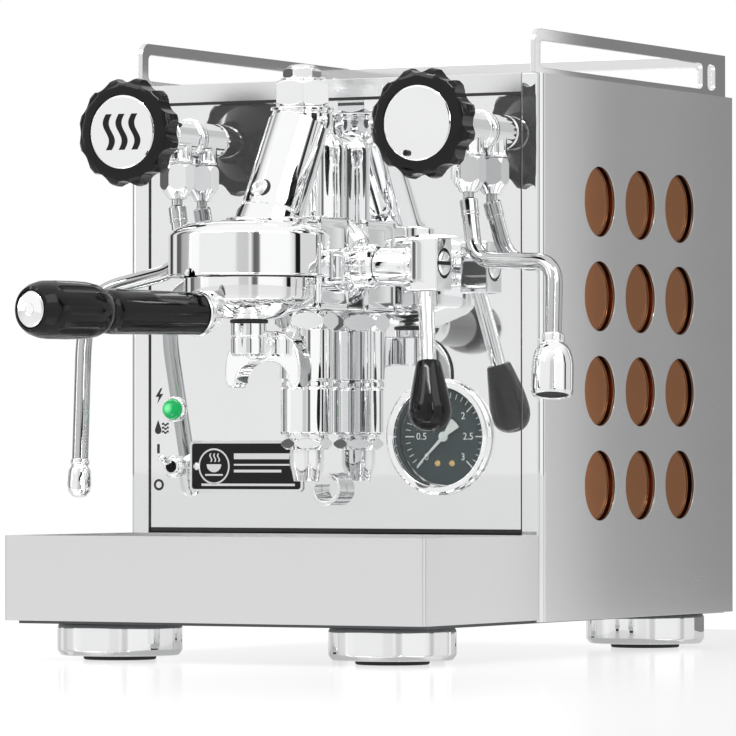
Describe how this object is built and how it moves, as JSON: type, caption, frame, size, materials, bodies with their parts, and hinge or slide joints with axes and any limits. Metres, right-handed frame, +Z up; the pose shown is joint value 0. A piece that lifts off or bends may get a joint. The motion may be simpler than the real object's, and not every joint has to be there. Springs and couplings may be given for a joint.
{
  "type": "espresso machine",
  "caption": "Boxy polished-steel espresso machine with a lever brew group, portafilter, two lobed knobs, two wands, a gauge and a drip tray.",
  "frame": {"origin": "middle of the whole machine's box, at the floor under the feet", "axes": "+Z up; the front with the brew group and tray faces -Y; +X is the right side seen from the front"},
  "size_m": [0.3206, 0.55, 0.3635],
  "materials": {
    "mirror_steel": "mirror-polished stainless sheet",
    "side_steel": "polished stainless sheet with a soft reflection",
    "chrome": "bright chrome plate on brass",
    "copper": "satin copper",
    "black_plastic": "glossy black moulded plastic",
    "rubber": "matt black rubber",
    "dial_paint": "matt slate-green dial paint",
    "needle_paint": "pale satin paint",
    "clear_glass": "clear flat glass",
    "green_lens": "translucent green lens, lit",
    "grey_paint": "dark grey chassis paint",
    "tank_plastic": "clear moulded plastic",
    "pump_brass": "brass and steel pump"
  },
  "bodies": {
    "machine": {"left_side_panel": "side_steel", "right_side_panel": "side_steel", "left_copper_liner": "copper", "right_copper_liner": "copper", "top_deck": "mirror_steel", "cup_rail": "mirror_steel", "front_panel": "mirror_steel", "rear_panel": "side_steel", "chassis_pan": "grey_paint", "front_left_foot": "chrome", "front_left_foot_pad": "rubber", "front_right_foot": "chrome", "front_right_foot_pad": "rubber", "rear_left_foot": "chrome", "rear_left_foot_pad": "rubber", "rear_right_foot": "chrome", "rear_right_foot_pad": "rubber", "steam_valve": "chrome", "water_valve": "chrome", "steam_ball_nut": "chrome", "water_ball_nut": "chrome", "group_head": "chrome", "group_cap_nut": "chrome", "lower_valve": "chrome", "group_gasket": "rubber", "shower_screen": "mirror_steel", "gauge_case": "chrome", "gauge_dial": "dial_paint", "gauge_glass": "clear_glass", "pilot_lamp": "green_lens", "toggle_body": "chrome", "badge_plate": "black_plastic", "drain_spout": "mirror_steel", "boiler": "copper", "water_tank": "tank_plastic", "tank_front_wall": "tank_plastic", "tank_rear_wall": "tank_plastic", "pump": "pump_brass", "mains_inlet": "black_plastic"},
    "brew_lever": {"lever_shaft": "chrome", "lever_rod": "chrome", "lever_grip": "black_plastic"},
    "steam_handwheel": {"steam_knob": "black_plastic", "steam_knob_disc": "chrome"},
    "water_handwheel": {"water_knob": "black_plastic", "water_knob_disc": "chrome"},
    "steam_arm": {"steam_wand": "chrome", "steam_tip": "chrome"},
    "water_arm": {"water_wand": "chrome", "water_nozzle": "chrome"},
    "toggle_bat": {"power_toggle": "chrome"},
    "needle": {"gauge_needle": "needle_paint"},
    "tray": {"drip_tray": "side_steel"},
    "grate": {"drip_grate": "mirror_steel"},
    "filter_holder": {"portafilter": "chrome", "portafilter_handle": "black_plastic", "handle_end_cap": "chrome", "portafilter_spout": "chrome", "filter_basket": "mirror_steel"},
    "cup_shelf": {"cup_tray": "side_steel"}
  },
  "joints": [
    {"name": "brew_lever_lift", "type": "hinge", "parent": "machine", "child": "brew_lever", "pos_m": [0.06406, -0.03221, 0.2267], "axis": [-1, 0, 0], "range_deg": [0, 75]},
    {"name": "steam_knob_turn", "type": "hinge", "parent": "machine", "child": "steam_handwheel", "pos_m": [-0.11354, -0.06121, 0.3056], "axis": [0, -1, 0], "range_deg": [0, 450]},
    {"name": "water_knob_turn", "type": "hinge", "parent": "machine", "child": "water_handwheel", "pos_m": [0.07966, -0.06121, 0.3056], "axis": [0, -1, 0], "range_deg": [0, 450]},
    {"name": "steam_wand_swivel", "type": "hinge", "parent": "machine", "child": "steam_arm", "pos_m": [-0.11354, -0.01491, 0.275], "axis": [0, 0, 1], "range_deg": [-50, 40]},
    {"name": "water_wand_swivel", "type": "hinge", "parent": "machine", "child": "water_arm", "pos_m": [0.07966, -0.01491, 0.275], "axis": [0, 0, 1], "range_deg": [-40, 30]},
    {"name": "power_toggle_flip", "type": "hinge", "parent": "machine", "child": "toggle_bat", "pos_m": [-0.12294, -0.00121, 0.111], "axis": [1, 0, 0], "range_deg": [0, 36]},
    {"name": "gauge_needle_sweep", "type": "hinge", "parent": "machine", "child": "needle", "pos_m": [0.05375, 0.00359, 0.1285], "axis": [0, 1, 0], "range_deg": [0, 270]},
    {"name": "drip_tray_slide", "type": "slide", "parent": "machine", "child": "tray", "axis": [0, -1, 0], "range_m": [0, 0.16]},
    {"name": "drip_grate_lift", "type": "slide", "parent": "tray", "child": "grate", "axis": [0, 0, 1], "range_m": [0, 0.018]},
    {"name": "portafilter_turn", "type": "hinge", "parent": "machine", "child": "filter_holder", "pos_m": [-0.01695, -0.10061, 0.22], "axis": [0, 0, 1], "range_deg": [-35, 8]},
    {"name": "cup_tray_lift", "type": "slide", "parent": "machine", "child": "cup_shelf", "axis": [0, 0, 1], "range_m": [0, 0.08]}
  ]
}
